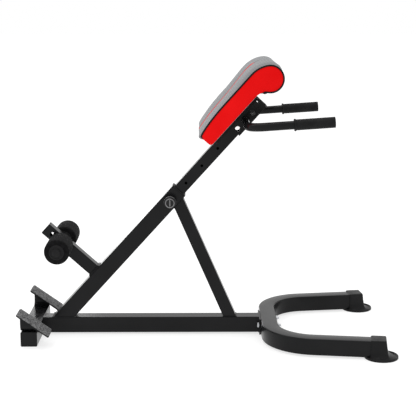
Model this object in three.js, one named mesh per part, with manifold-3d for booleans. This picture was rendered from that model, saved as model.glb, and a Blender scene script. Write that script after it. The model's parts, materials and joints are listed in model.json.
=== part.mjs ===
// Roman chair (45 degree back extension bench) with a height-adjustable hip pad.
// Millimetres, +Z up. +X is the user's front, +Y the user's left. The origin is on the floor
// under the centre of the whole chair.
import * as THREE from "three";
import { mergeVertices } from "three/addons/utils/BufferGeometryUtils.js";
import Module from "manifold-3d";

// ---- Driving dimensions -------------------------------------------------------------------

const GAP = 0.3; // clearance between pieces that touch or are welded to each other
const WALL = 2; // steel tube wall
const TUBE_CORNER = 3.5; // outer corner radius of a square tube

// Floor frame
const BASE_TUBE = 50; // side of the square base tubes
const BASE_TOP = 55.5; // height of the base tubes' upper faces
const BASE_BOTTOM = BASE_TOP - BASE_TUBE;
const STAND_REAR = -561; // rear crossbar, rear and front faces
const STAND_FRONT = -511;
const STAND_HALF_WIDTH = 149;
const CROSSBAR_TOP = 45;
const STRAP_THICK = 4; // bent steel strap that carries the foot plates
const STRAP_BEND = 22; // outside radius of its bends

// Foot plates
const PLATE_ANGLE = THREE.MathUtils.degToRad(35.5); // slope down towards the front
const PLATE_REAR_X = -565.6; // upper rear edge of the tread
const PLATE_REAR_Z = 109;
const PLATE_LENGTH = 118;
const PLATE_WIDTH = 72;
const PLATE_CORNER = 6;
const PLATE_CENTRE_Y = 140;
const PLATE_STEEL = 3;
const TREAD_THICK = 3;

// Front U tube
const APEX_X = 200.3; // centre line of the flat apex
const U_BEND_RADIUS = 141;
const U_SPLAY = THREE.MathUtils.degToRad(8);
const FOOT_X = 518.5; // centre of each disc foot
const FOOT_Y = 258;
const FOOT_RADIUS = 50.5;
const FOOT_THICK = 5;
const CAP_REAR = -31.7; // mouth of an end cap, measured from its disc's centre
const CAP_WIDTH = 57;
const CAP_ROOF = 3;
const CAP_SKIRT_TOP = 17; // the cap flares out below this height
const CAP_SKIRT_RADIUS = 40;
const FLANGE_THICK = 5;
const FLANGE_HALF_WIDTH = 53;
const FLANGE_BOLT_Y = 38;
const FLANGE_BOLT_Z = 33;

// Sloping post: distances along it are measured up from the locking pin, heights square to it
// from its centre line
const POST_ANGLE = THREE.MathUtils.degToRad(47.8);
const PIN_X = -107;
const PIN_Z = 428.2;
const OUTER_TUBE = 50;
const INNER_TUBE = 38;
const OUTER_POST_END = 38;
const HOLE_PITCH = 72.6; // spacing of the height holes
const INNER_POST_FROM = -200;
const INNER_POST_TO = 390;
const PIN_RADIUS = 4;
const PIN_TIP = -20.3; // the pin's places across the chair, when pulled out
const PIN_SHOULDER = -40.5;
const PIN_OUTER_END = -66;
const BARREL_END = -50;
const KNOB_FACE = -72;
const KNOB_LENGTH = 18;
const KNOB_RADIUS = 15.5;
const KNOB_SKIRT_RADIUS = 19;

// Brace from the base tube up to the outer post
const BRACE_ANGLE = THREE.MathUtils.degToRad(113.6);
const BRACE_X = -3.1; // a point on the brace's centre line
const BRACE_Z = 241.2;

// Ankle hold
const ARM_S = -326.3;
const ARM_TIP = 224.8;
const AXLE_N = 160;
const SPARE_HOLE_N = 198.3;
const AXLE_RADIUS = 8;
const ROLLER_RADIUS = 39;
const ROLLER_INNER = 40;
const ROLLER_OUTER = 152;
const HUB_FLANGE = 2.2;
const AXLE_END = 159;

// Hip pad and its bracket
const BRACKET_FROM = 291;
const BRACKET_TO = 415;
const BRACKET_LOW = -23.5;
const BRACKET_HIGH = 26.3;
const BRACKET_STEEL = 3;
const BRACKET_FLANGE = 47; // half-width over the bracket's two flanges
const HANDLE_S = 339;
const HANDLE_N = -4.6;
const BRACKET_HOLES = [303, 371.5];
const BRACKET_HOLE_RADIUS = 8;
const PAD_WIDTH = 400;
const PAD_FROM = 227;
const PAD_LOW = 37.5;
const PAD_HIGH = 88.5;
const PAD_CORNER = 8;
const PAD_FALL_FROM = 350; // the top falls away from here down to the lower end
const PAD_END_HIGH = 77.5;
const ROLL_S = 483;
const ROLL_N = 41;
const ROLL_RADIUS = 38;
const ROLL_FROM = 416; // where the flat cushions meet the roll
const VINYL_THICK = 2;
const PAD_SLOT = 20;
const PAD_SLOT_TO = 500;
const BOARD_LOW = 26.6;
const PAD_BOLTS = [318, 392];
const PAD_BOLT_Y = 35;
const PAD_BOLT_TIP = 34;

// Handlebar
const BAR_RADIUS = 12.5;
const BAR_HALF_WIDTH = 233;
const BAR_BEND_RADIUS = 45;
const BAR_REACH = 247; // from the cross tube's centre to the end of a handle
const BAR_RISE = THREE.MathUtils.degToRad(3.9);
const GRIP_RADIUS = 15.8;
const GRIP_LENGTH = 114;
const GRIP_END = 4; // thickness of a grip's closed end

// ---- Solid modelling ----------------------------------------------------------------------

const wasm = await Module();
wasm.setup();

// A closed three.js geometry as a manifold solid.
function solid(geometry) {
  const plain = geometry.clone();
  plain.deleteAttribute("normal");
  plain.deleteAttribute("uv");
  const merged = mergeVertices(plain, 1e-3);
  const mesh = new wasm.Mesh({
    numProp: 3,
    vertProperties: merged.attributes.position.array,
    triVerts: new Uint32Array(merged.index.array),
  });
  return new wasm.Manifold(mesh);
}

function geometryOf(shape) {
  const mesh = shape.getMesh();
  const geometry = new THREE.BufferGeometry();
  geometry.setAttribute("position", new THREE.BufferAttribute(mesh.vertProperties, 3));
  geometry.setIndex(new THREE.BufferAttribute(mesh.triVerts, 1));
  geometry.computeVertexNormals();
  return geometry;
}

const cut = (body, ...tools) => tools.reduce((left, tool) => left.subtract(tool), body);
const join = (body, ...others) => others.reduce((sum, other) => sum.add(other), body);

// Box between two corners.
function box(x0, x1, y0, y1, z0, z1) {
  const geometry = new THREE.BoxGeometry(x1 - x0, y1 - y0, z1 - z0);
  return solid(geometry.translate((x0 + x1) / 2, (y0 + y1) / 2, (z0 + z1) / 2));
}

// Square bar along X, centred on the X axis.
const bar = (x0, x1, side) => box(x0, x1, -side / 2, side / 2, -side / 2, side / 2);

// Round bar along Y at (x, z).
function rodY(radius, y0, y1, x = 0, z = 0, sides = 24) {
  const geometry = new THREE.CylinderGeometry(radius, radius, y1 - y0, sides);
  return solid(geometry.translate(x, (y0 + y1) / 2, z));
}

// Round bar along X at (y, z).
function rodX(radius, x0, x1, y, z, sides = 16) {
  const geometry = new THREE.CylinderGeometry(radius, radius, x1 - x0, sides);
  return solid(geometry.rotateZ(Math.PI / 2).translate((x0 + x1) / 2, y, z));
}

// Upright round disc about the Z axis.
function discZ(radius, z0, z1) {
  const geometry = new THREE.CylinderGeometry(radius, radius, z1 - z0, 48);
  return solid(geometry.rotateX(Math.PI / 2).translate(0, 0, (z0 + z1) / 2));
}

// Flat shape drawn in (x, y) and raised from z0 to z1.
function prismZ(shape, z0, z1, curveSegments = 2) {
  const geometry = new THREE.ExtrudeGeometry(shape, {
    depth: z1 - z0,
    bevelEnabled: false,
    curveSegments,
  });
  return solid(geometry.translate(0, 0, z0));
}

// Flat shape drawn in (x, z), as thick as asked and centred on the plane y = 0.
function slabY(shape, thickness, curveSegments = 12) {
  const geometry = new THREE.ExtrudeGeometry(shape, {
    depth: thickness,
    bevelEnabled: false,
    curveSegments,
  });
  return solid(geometry.rotateX(Math.PI / 2).translate(0, thickness / 2, 0));
}

// Ring or disc turned about Y from (radius, y) points that close on themselves or on the axis.
function turnedY(points, sides = 24) {
  const profile = points.map(([r, y]) => new THREE.Vector2(r, y));
  return solid(new THREE.LatheGeometry(profile, sides));
}

// Rectangle between two corners, with its own corners rounded.
function roundedRect(x0, x1, y0, y1, corner) {
  const shape = new THREE.Shape().moveTo(x0 + corner, y0).lineTo(x1 - corner, y0);
  shape.absarc(x1 - corner, y0 + corner, corner, -Math.PI / 2, 0);
  shape.absarc(x1 - corner, y1 - corner, corner, 0, Math.PI / 2);
  shape.absarc(x0 + corner, y1 - corner, corner, Math.PI / 2, Math.PI);
  return shape.absarc(x0 + corner, y0 + corner, corner, Math.PI, 1.5 * Math.PI);
}

const roundedSquare = (side) => roundedRect(-side / 2, side / 2, -side / 2, side / 2, TUBE_CORNER);

// Square bar along X with rounded long edges: the outside of a square tube.
function roundedBar(x0, x1, side) {
  return prismZ(roundedSquare(side), x0, x1).rotate([0, 90, 0]);
}

function squareShape(side) {
  const half = side / 2;
  const shape = new THREE.Shape();
  shape.moveTo(-half, -half).lineTo(half, -half).lineTo(half, half).lineTo(-half, half);
  return shape.closePath();
}

function ringShape(outer, inner) {
  const shape = new THREE.Shape().absarc(0, 0, outer, 0, 2 * Math.PI);
  shape.holes.push(new THREE.Path().absarc(0, 0, inner, 0, 2 * Math.PI));
  return shape;
}

function turn(shape, axis, angle) {
  const matrix = new THREE.Matrix4().makeRotationAxis(axis, angle);
  return shape.transform(matrix.toArray());
}

const UP_SLOPE = new THREE.Vector3(0, -1, 0); // a positive turn raises +X towards +Z

// Arc that leaves its start along one direction and curves towards another, square to it.
class BendArc extends THREE.Curve {
  constructor(start, along, inwards, radius, sweep) {
    super();
    this.centre = start.clone().addScaledVector(inwards, radius);
    this.along = along;
    this.inwards = inwards;
    this.radius = radius;
    this.sweep = sweep;
  }

  getPoint(t, target = new THREE.Vector3()) {
    const angle = t * this.sweep;
    target.copy(this.centre).addScaledVector(this.inwards, -this.radius * Math.cos(angle));
    return target.addScaledVector(this.along, this.radius * Math.sin(angle));
  }
}

// Centre line through the given points, with each corner between them bent to one radius.
function bentPath(points, radius) {
  const path = new THREE.CurvePath();
  let start = points[0];
  for (let i = 1; i < points.length - 1; i++) {
    const along = points[i].clone().sub(points[i - 1]).normalize();
    const next = points[i + 1].clone().sub(points[i]).normalize();
    const sweep = along.angleTo(next);
    const inwards = next.clone().addScaledVector(along, -along.dot(next)).normalize();
    const setback = radius * Math.tan(sweep / 2);
    const bendStart = points[i].clone().addScaledVector(along, -setback);
    path.add(new THREE.LineCurve3(start, bendStart));
    path.add(new BendArc(bendStart, along, inwards, radius, sweep));
    start = points[i].clone().addScaledVector(next, setback);
  }
  path.add(new THREE.LineCurve3(start, points.at(-1)));
  return path;
}

// ---- Materials ----------------------------------------------------------------------------

const finish = (color, roughness, metalness) =>
  new THREE.MeshStandardMaterial({ color, roughness, metalness });

const FINISH = {
  powder: finish(0x1a1a1b, 0.45, 0.2),
  zinc: finish(0xb8babc, 0.35, 1),
  chrome: finish(0xd5d7d9, 0.15, 1),
  plastic: finish(0x111112, 0.5, 0),
  rubber: finish(0x4b4c4d, 0.85, 0),
  grip: finish(0x161616, 0.9, 0),
  foam: finish(0x1c1c1d, 0.95, 0),
  wood: finish(0x8b6a43, 0.8, 0),
  cushion: finish(0xa3a6a8, 0.85, 0),
  vinyl: finish(0xd01414, 0.45, 0),
};

function piece(name, shape, material) {
  const mesh = new THREE.Mesh(geometryOf(shape), material);
  mesh.name = name;
  return mesh;
}

// ---- Rear stand and foot plates -----------------------------------------------------------

// Square tube lying across the chair on the floor, with a plastic plug in each end.
function rearCrossbar() {
  const plugFlange = 3;
  const end = STAND_HALF_WIDTH - plugFlange;
  const inset = WALL + GAP;
  const section = roundedRect(STAND_REAR, STAND_FRONT, 0, CROSSBAR_TOP, TUBE_CORNER);
  const tube = cut(
    slabY(section, 2 * end, 2),
    box(STAND_REAR + WALL, STAND_FRONT - WALL, -end - 1, end + 1, WALL, CROSSBAR_TOP - WALL),
  );
  const thick = plugFlange - GAP;
  const plug = join(
    slabY(section, thick, 2).translate([0, STAND_HALF_WIDTH - thick / 2, 0]),
    box(STAND_REAR + inset, STAND_FRONT - inset, end - 14, end + 1, inset, CROSSBAR_TOP - inset),
  );
  const group = new THREE.Group();
  group.add(piece("rear_crossbar", tube, FINISH.powder));
  group.add(piece("crossbar_plug_left", plug, FINISH.plastic));
  group.add(piece("crossbar_plug_right", plug.mirror([0, 1, 0]), FINISH.plastic));
  return group;
}

// Section of the strap seen from the front: a web on the crossbar, bent up at both ends.
function strapOutline(top) {
  const half = STAND_HALF_WIDTH;
  const low = CROSSBAR_TOP + GAP;
  const bendY = half - STRAP_BEND;
  const bendZ = low + STRAP_BEND;
  const inside = STRAP_BEND - STRAP_THICK;
  const shape = new THREE.Shape().moveTo(-half, top).lineTo(-half, bendZ);
  shape.absarc(-bendY, bendZ, STRAP_BEND, Math.PI, 1.5 * Math.PI);
  shape.absarc(bendY, bendZ, STRAP_BEND, -Math.PI / 2, 0);
  shape.lineTo(half, top).lineTo(half - STRAP_THICK, top).lineTo(half - STRAP_THICK, bendZ);
  shape.absarc(bendY, bendZ, inside, 0, -Math.PI / 2, true);
  shape.absarc(-bendY, bendZ, inside, -Math.PI / 2, -Math.PI, true);
  return shape.lineTo(STRAP_THICK - half, top).closePath();
}

// Everything above the sloping underside of the foot plates.
function abovePlates() {
  const depth = TREAD_THICK + PLATE_STEEL + 2 * GAP;
  const space = turn(box(-300, 300, -400, 400, -depth, 300), UP_SLOPE, -PLATE_ANGLE);
  return space.translate([PLATE_REAR_X, 0, PLATE_REAR_Z]);
}

function footStrap() {
  const geometry = new THREE.ExtrudeGeometry(strapOutline(200), {
    depth: STAND_FRONT - STAND_REAR,
    bevelEnabled: false,
    curveSegments: 6,
  });
  geometry.rotateX(Math.PI / 2).rotateZ(Math.PI / 2).translate(STAND_REAR, 0, 0);
  return piece("foot_strap", cut(solid(geometry), abovePlates()), FINISH.powder);
}

// A layer of the foot plate, in a frame whose X runs down the slope from the rear edge.
function plateLayer(name, top, thick, inset, material) {
  const half = PLATE_WIDTH / 2 - inset;
  const outline = roundedRect(inset, PLATE_LENGTH - inset, -half, half, PLATE_CORNER);
  return piece(name, prismZ(outline, top - thick, top, 4), material);
}

function footPlates() {
  const plates = new THREE.Group();
  for (const [side, sign] of [["left", 1], ["right", -1]]) {
    const plate = new THREE.Group();
    plate.add(plateLayer("tread_" + side, 0, TREAD_THICK, 1.5, FINISH.rubber));
    const under = -TREAD_THICK - GAP;
    plate.add(plateLayer("foot_plate_" + side, under, PLATE_STEEL, 0, FINISH.powder));
    plate.position.set(PLATE_REAR_X, sign * PLATE_CENTRE_Y, PLATE_REAR_Z);
    plate.rotation.y = PLATE_ANGLE;
    plates.add(plate);
  }
  return plates;
}

// ---- Base tube and front U ----------------------------------------------------------------

const FLANGE_FRONT = APEX_X - BASE_TUBE / 2 - GAP;
const FLANGE_REAR = FLANGE_FRONT - FLANGE_THICK;

function baseTube() {
  const middle = (BASE_TOP + BASE_BOTTOM) / 2;
  const from = STAND_FRONT + GAP;
  const to = FLANGE_REAR - GAP;
  const tube = cut(roundedBar(from, to, BASE_TUBE), bar(from - 1, to + 1, BASE_TUBE - 2 * WALL));
  return piece("base_tube", tube.translate([0, 0, middle]), FINISH.powder);
}

function frontFlange() {
  const half = FLANGE_HALF_WIDTH;
  let plate = box(FLANGE_REAR, FLANGE_FRONT, -half, half, BASE_BOTTOM, BASE_TOP);
  for (const sign of [1, -1]) {
    const hole = rodX(4.4, FLANGE_REAR - 1, FLANGE_FRONT + 1, sign * FLANGE_BOLT_Y, FLANGE_BOLT_Z);
    plate = cut(plate, hole);
  }
  return piece("front_flange", plate, FINISH.powder);
}

// Centre line of the U, from one foot round the apex to the other.
function frontPath(z) {
  const tipX = FOOT_X + 3 * Math.cos(U_SPLAY);
  const tipY = FOOT_Y + 3 * Math.sin(U_SPLAY);
  const cornerY = tipY - (tipX - APEX_X) * Math.tan(U_SPLAY);
  const corners = [
    new THREE.Vector3(tipX, tipY, z),
    new THREE.Vector3(APEX_X, cornerY, z),
    new THREE.Vector3(APEX_X, -cornerY, z),
    new THREE.Vector3(tipX, -tipY, z),
  ];
  return bentPath(corners, U_BEND_RADIUS);
}

function frontUTube() {
  const shape = roundedSquare(BASE_TUBE);
  shape.holes.push(squareShape(BASE_TUBE - 2 * WALL));
  const geometry = new THREE.ExtrudeGeometry(shape, {
    steps: 44,
    curveSegments: 1,
    extrudePath: frontPath((BASE_TOP + BASE_BOTTOM) / 2),
  });
  let tube = solid(geometry);
  for (const sign of [1, -1]) {
    const x0 = APEX_X - BASE_TUBE;
    tube = cut(tube, rodX(4.4, x0, x0 + 2 * BASE_TUBE, sign * FLANGE_BOLT_Y, FLANGE_BOLT_Z));
  }
  return piece("front_u_tube", tube, FINISH.powder);
}

// Bolt from the flange through the U tube, and its nut inside the U.
function flangeBolts() {
  const fasteners = new THREE.Group();
  const head = 5.5;
  const uFront = APEX_X + BASE_TUBE / 2;
  for (const [side, sign] of [["left", 1], ["right", -1]]) {
    const y = sign * FLANGE_BOLT_Y;
    const headX = FLANGE_REAR - GAP;
    const bolt = join(
      rodX(4, headX - 1, uFront + 13, y, FLANGE_BOLT_Z),
      rodX(8, headX - head, headX, y, FLANGE_BOLT_Z, 6),
    );
    const nut = cut(
      rodX(8, uFront + GAP, uFront + GAP + 7, y, FLANGE_BOLT_Z, 6),
      rodX(4.3, uFront - 1, uFront + 9, y, FLANGE_BOLT_Z),
    );
    fasteners.add(piece("flange_bolt_" + side, bolt, FINISH.zinc));
    fasteners.add(piece("flange_nut_" + side, nut, FINISH.zinc));
  }
  return fasteners;
}

// Moulded end cap on its round disc foot, drawn about the disc's centre with +X outwards.
function footCap(side, sign) {
  const top = BASE_TOP + CAP_ROOF;
  const profile = new THREE.Shape();
  profile.moveTo(CAP_REAR, CAP_SKIRT_TOP - 1).lineTo(CAP_REAR, top).lineTo(12, top);
  profile.lineTo(14.5, top - 3).lineTo(20, CAP_SKIRT_TOP).lineTo(20, CAP_SKIRT_TOP - 1).closePath();
  const half = CAP_WIDTH / 2;
  const skirt = wasm.Manifold.hull([
    box(CAP_REAR, 20, -half, half, CAP_SKIRT_TOP - 1, CAP_SKIRT_TOP),
    discZ(CAP_SKIRT_RADIUS, FOOT_THICK - 1, FOOT_THICK),
  ]);
  const room = BASE_TUBE / 2 + GAP;
  const socket = box(-60, 3 + GAP, -room, room, BASE_BOTTOM - GAP, BASE_TOP + GAP);
  const shell = join(slabY(profile, CAP_WIDTH), skirt, discZ(FOOT_RADIUS, 0, FOOT_THICK));
  const cap = piece("foot_cap_" + side, cut(shell, socket), FINISH.plastic);
  cap.position.set(FOOT_X, sign * FOOT_Y, 0);
  cap.rotation.z = sign * U_SPLAY;
  return cap;
}

// ---- Sloping post, brace and ankle arm ----------------------------------------------------

const postFrame = () => {
  const group = new THREE.Group();
  group.position.set(PIN_X, 0, PIN_Z);
  group.rotation.y = -POST_ANGLE;
  return group;
};

// Everything below the base tube's upper face, in the post's own frame.
function belowBase() {
  const space = box(-900, 900, -200, 200, -600, BASE_TOP + GAP);
  return turn(space.translate([-PIN_X, 0, -PIN_Z]), UP_SLOPE, -POST_ANGLE);
}

function outerPost() {
  const long = roundedBar(-640, OUTER_POST_END, OUTER_TUBE);
  const hollow = bar(-700, OUTER_POST_END + 1, OUTER_TUBE - 2 * WALL);
  const pinHole = rodY(PIN_RADIUS + 0.4, -OUTER_TUBE / 2 - 1, 0);
  return piece("outer_post", cut(long, hollow, pinHole, belowBase()), FINISH.powder);
}

// Plastic bushing in the mouth of the outer post.
function postSleeve() {
  const insert = OUTER_TUBE - 2 * WALL - 2 * GAP;
  const mouth = OUTER_POST_END + GAP;
  const sleeve = join(bar(12, mouth + 1, insert), bar(mouth, mouth + 4, OUTER_TUBE));
  return piece("post_sleeve", cut(sleeve, bar(0, 60, INNER_TUBE + 2 * GAP)), FINISH.plastic);
}

function braceTube() {
  const brace = cut(roundedBar(-400, 400, INNER_TUBE), bar(-401, 401, INNER_TUBE - 2 * WALL));
  const placed = turn(brace, UP_SLOPE, BRACE_ANGLE).translate([BRACE_X, 0, BRACE_Z]);
  const floor = box(-900, 900, -100, 100, -900, BASE_TOP + GAP);
  const overPost = box(-900, 900, -100, 100, -OUTER_TUBE / 2 - GAP, 900);
  const past = turn(overPost, UP_SLOPE, POST_ANGLE).translate([PIN_X, 0, PIN_Z]);
  return piece("brace_tube", cut(placed, floor, past), FINISH.powder);
}

// The ankle arm stands square on the outer post's upper face, on a small welded pad.
function ankleArm() {
  const foot = OUTER_TUBE / 2 + GAP;
  const half = INNER_TUBE / 2;
  const padTop = foot + 4;
  const inner = half - WALL;
  const section = roundedRect(ARM_S - half, ARM_S + half, -half, half, TUBE_CORNER);
  const tube = cut(
    prismZ(section, padTop + GAP, ARM_TIP),
    box(ARM_S - inner, ARM_S + inner, -inner, inner, padTop, ARM_TIP + 1),
    rodY(AXLE_RADIUS + 0.3, -30, 30, ARM_S, AXLE_N),
    rodY(AXLE_RADIUS + 0.3, -30, 30, ARM_S, SPARE_HOLE_N),
  );
  const pad = box(ARM_S - half - 3, ARM_S + half + 3, -half - 3, half + 3, foot, padTop);
  const spigot = inner - GAP;
  const plug = join(
    prismZ(section, ARM_TIP + GAP, ARM_TIP + 3),
    box(ARM_S - spigot, ARM_S + spigot, -spigot, spigot, ARM_TIP - 12, ARM_TIP + 1),
  );
  const arm = new THREE.Group();
  arm.add(piece("ankle_arm", tube, FINISH.powder));
  arm.add(piece("ankle_arm_pad", pad, FINISH.powder));
  arm.add(piece("ankle_arm_plug", plug, FINISH.plastic));
  return arm;
}

function rollerAxle() {
  const axle = rodY(AXLE_RADIUS, -AXLE_END, AXLE_END, ARM_S, AXLE_N);
  return piece("roller_axle", axle, FINISH.chrome);
}

// Flanged hub plug, drawn with its outer face at y = 0 and its spigot along +Y.
function rollerHub(bore) {
  const inner = AXLE_RADIUS + 0.1;
  const spigot = bore - GAP;
  return turnedY([
    [inner, 0],
    [22, 0],
    [23, 1],
    [23, HUB_FLANGE],
    [spigot, HUB_FLANGE],
    [spigot, 24],
    [inner, 24],
    [inner, 0],
  ]);
}

// Push cap that keeps a roller on the axle, drawn with its mouth at y = 0.
function axleCap(side, sign) {
  const depth = AXLE_END - ROLLER_OUTER - HUB_FLANGE - GAP;
  const cap = turnedY([
    [AXLE_RADIUS + GAP, 0],
    [12, 0],
    [12, depth],
    [9.5, depth + 3],
    [0, depth + 3],
    [0, depth],
    [AXLE_RADIUS + GAP, depth],
    [AXLE_RADIUS + GAP, 0],
  ]);
  const mesh = piece("axle_cap_" + side, cap, FINISH.plastic);
  mesh.position.set(ARM_S, sign * (ROLLER_OUTER + HUB_FLANGE + 2 * GAP), AXLE_N);
  mesh.rotation.x = sign > 0 ? 0 : Math.PI;
  return mesh;
}

// Foam roller with a hub plug pressed into each end.
function ankleRoller(side, sign) {
  const bore = 12.8;
  const soft = 6; // rounding of the foam's rims
  const foam = turnedY([
    [bore, ROLLER_INNER],
    [ROLLER_RADIUS - soft, ROLLER_INNER],
    [ROLLER_RADIUS - 1.8, ROLLER_INNER + 1.8],
    [ROLLER_RADIUS, ROLLER_INNER + soft],
    [ROLLER_RADIUS, ROLLER_OUTER - soft],
    [ROLLER_RADIUS - 1.8, ROLLER_OUTER - 1.8],
    [ROLLER_RADIUS - soft, ROLLER_OUTER],
    [bore, ROLLER_OUTER],
    [bore, ROLLER_INNER],
  ]);
  const roller = new THREE.Group();
  roller.add(piece("foam_roller_" + side, foam, FINISH.foam));
  const innerHub = piece("roller_hub_inner_" + side, rollerHub(bore), FINISH.plastic);
  innerHub.position.y = ROLLER_INNER - HUB_FLANGE - GAP;
  const outerHub = piece("roller_hub_outer_" + side, rollerHub(bore), FINISH.plastic);
  outerHub.position.y = ROLLER_OUTER + HUB_FLANGE + GAP;
  outerHub.rotation.x = Math.PI;
  roller.add(innerHub, outerHub);
  roller.position.set(ARM_S, 0, AXLE_N);
  roller.rotation.x = sign > 0 ? 0 : Math.PI;
  return roller;
}

// ---- Locking pin --------------------------------------------------------------------------

// Boss on the outer post's right side that houses the pin and its spring.
function pinBarrel() {
  const face = -OUTER_TUBE / 2 - GAP;
  const barrel = turnedY([
    [4.5, BARREL_END],
    [9.5, BARREL_END],
    [9.5, face - 3],
    [13, face - 3],
    [13, face],
    [6.4, face],
    [6.4, BARREL_END + 3],
    [4.5, BARREL_END + 3],
    [4.5, BARREL_END],
  ]);
  return piece("pin_barrel", barrel, FINISH.powder);
}

class Helix extends THREE.Curve {
  constructor(radius, turns, from, to) {
    super();
    this.radius = radius;
    this.turns = turns;
    this.from = from;
    this.to = to;
  }

  getPoint(t, target = new THREE.Vector3()) {
    const angle = 2 * Math.PI * this.turns * t;
    const y = THREE.MathUtils.lerp(this.from, this.to, t);
    return target.set(this.radius * Math.cos(angle), y, this.radius * Math.sin(angle));
  }
}

// Compression spring between the barrel's end wall and the pin's shoulder.
function pinSpring() {
  const wire = 0.45;
  const turns = 3;
  const from = BARREL_END + 3 + wire + GAP;
  const to = PIN_SHOULDER - wire - GAP;
  const section = new THREE.Shape().absarc(0, 0, wire, 0, 2 * Math.PI);
  const geometry = new THREE.ExtrudeGeometry(section, {
    steps: 10 * turns,
    curveSegments: 3,
    extrudePath: new Helix(5.2, turns, from, to),
  });
  return piece("pin_spring", solid(geometry), FINISH.zinc);
}

// The pin and knob are drawn pulled out, with the pin's tip clear of the inner post.
function plungerPin() {
  const pin = turnedY([
    [0, PIN_OUTER_END],
    [PIN_RADIUS, PIN_OUTER_END],
    [PIN_RADIUS, PIN_SHOULDER],
    [6, PIN_SHOULDER],
    [6, PIN_SHOULDER + 2.5],
    [PIN_RADIUS, PIN_SHOULDER + 2.5],
    [PIN_RADIUS, PIN_TIP - 1.5],
    [PIN_RADIUS - 1.5, PIN_TIP],
    [0, PIN_TIP],
  ]);
  return piece("plunger_pin", pin, FINISH.zinc);
}

// Round knob on a wider skirt, with a raised rim and a grip bar across its dished face.
function pinKnob() {
  const front = KNOB_FACE;
  const rear = KNOB_FACE + KNOB_LENGTH;
  const recess = rear - 8.5;
  const body = turnedY([
    [0, front + 2.7],
    [KNOB_RADIUS - 3.7, front + 2.7],
    [KNOB_RADIUS - 3.1, front],
    [KNOB_RADIUS - 1, front],
    [KNOB_RADIUS, front + 1],
    [KNOB_RADIUS, rear - 6],
    [KNOB_SKIRT_RADIUS, rear - 4.5],
    [KNOB_SKIRT_RADIUS, rear - 1],
    [KNOB_SKIRT_RADIUS - 1, rear],
    [10.2, rear],
    [10.2, recess],
    [PIN_RADIUS + GAP, recess],
    [PIN_RADIUS + GAP, PIN_OUTER_END - GAP],
    [0, PIN_OUTER_END - GAP],
  ]);
  const barHalf = KNOB_RADIUS - 3.4;
  const gripBar = box(-1.8, 1.8, front, front + 3, -barHalf, barHalf);
  const knob = join(body, turn(gripBar, UP_SLOPE, -POST_ANGLE));
  return piece("pin_knob", knob, FINISH.plastic);
}

// ---- Inner post and pad bracket -----------------------------------------------------------

// The height holes are only in the right wall, on the locking pin's side.
function innerPost() {
  const reach = OUTER_TUBE;
  const drills = [];
  for (let k = -1; k <= 3; k++) {
    drills.push(rodY(PIN_RADIUS + 0.5, -reach, 0, k * HOLE_PITCH, 0, 14));
  }
  for (const s of BRACKET_HOLES) {
    drills.push(rodY(BRACKET_HOLE_RADIUS, -reach, reach, s, HANDLE_N));
  }
  drills.push(rodY(BAR_RADIUS + GAP, -reach, reach, HANDLE_S, HANDLE_N));
  const tube = roundedBar(INNER_POST_FROM, INNER_POST_TO, INNER_TUBE);
  const hollow = bar(INNER_POST_FROM - 1, INNER_POST_TO + 1, INNER_TUBE - 2 * WALL);
  return piece("inner_post", cut(tube, hollow, ...drills), FINISH.powder);
}

// Plastic glide that guides the inner post's lower end inside the outer post.
function postGlide() {
  const end = INNER_POST_FROM - GAP;
  const glide = join(
    bar(end - 12, end, OUTER_TUBE - 2 * WALL - 2 * GAP),
    bar(end - 1, end + 16, INNER_TUBE - 2 * WALL - 2 * GAP),
  );
  return piece("post_glide", glide, FINISH.plastic);
}

function postEndCap() {
  const end = INNER_POST_TO + GAP;
  const cap = join(
    roundedBar(end, end + 3, INNER_TUBE),
    bar(end - 9, end + 1, INNER_TUBE - 2 * WALL - 2 * GAP),
  );
  return piece("post_end_cap", cap, FINISH.plastic);
}

// Angle bracket on one side of the inner post; its flange carries the pad's board.
function padBracket(side, sign) {
  const inner = INNER_TUBE / 2 + GAP;
  const across = (from, to) => [Math.min(sign * from, sign * to), Math.max(sign * from, sign * to)];
  const web = across(inner, inner + BRACKET_STEEL);
  const flange = across(inner, BRACKET_FLANGE);
  const slit = across(inner - 1, inner + BRACKET_STEEL + 1);
  const drills = BRACKET_HOLES.map((s) => rodY(BRACKET_HOLE_RADIUS, -60, 60, s, HANDLE_N));
  for (const s of PAD_BOLTS) {
    drills.push(padBoltHole(s, sign));
  }
  const bracket = cut(
    join(
      box(BRACKET_FROM, BRACKET_TO, ...web, BRACKET_LOW, BRACKET_HIGH),
      box(BRACKET_FROM, BRACKET_TO, ...flange, BRACKET_HIGH - BRACKET_STEEL, BRACKET_HIGH),
    ),
    rodY(BAR_RADIUS + GAP, -60, 60, HANDLE_S, HANDLE_N),
    box(402, 405.5, ...slit, 1, 20),
    ...drills,
  );
  return piece("pad_bracket_" + side, bracket, FINISH.powder);
}

// Upright round bar in the post's frame, square to the pad.
function rodN(radius, s, y, n0, n1, sides = 14) {
  const geometry = new THREE.CylinderGeometry(radius, radius, n1 - n0, sides);
  return solid(geometry.rotateX(Math.PI / 2).translate(s, y, (n0 + n1) / 2));
}

const padBoltHole = (s, sign) => rodN(3.8, s, sign * PAD_BOLT_Y, 0, PAD_BOLT_TIP + 0.5);

function padBolts() {
  const bolts = new THREE.Group();
  const seat = BRACKET_HIGH - BRACKET_STEEL - GAP;
  for (const [side, sign] of [["left", 1], ["right", -1]]) {
    for (const [end, s] of [["lower", PAD_BOLTS[0]], ["upper", PAD_BOLTS[1]]]) {
      const y = sign * PAD_BOLT_Y;
      const bolt = join(rodN(3.5, s, y, seat - 1, PAD_BOLT_TIP), rodN(7.5, s, y, seat - 5, seat, 6));
      bolts.add(piece("pad_bolt_" + end + "_" + side, bolt, FINISH.zinc));
    }
  }
  return bolts;
}

// ---- Hip pad ------------------------------------------------------------------------------

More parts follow.
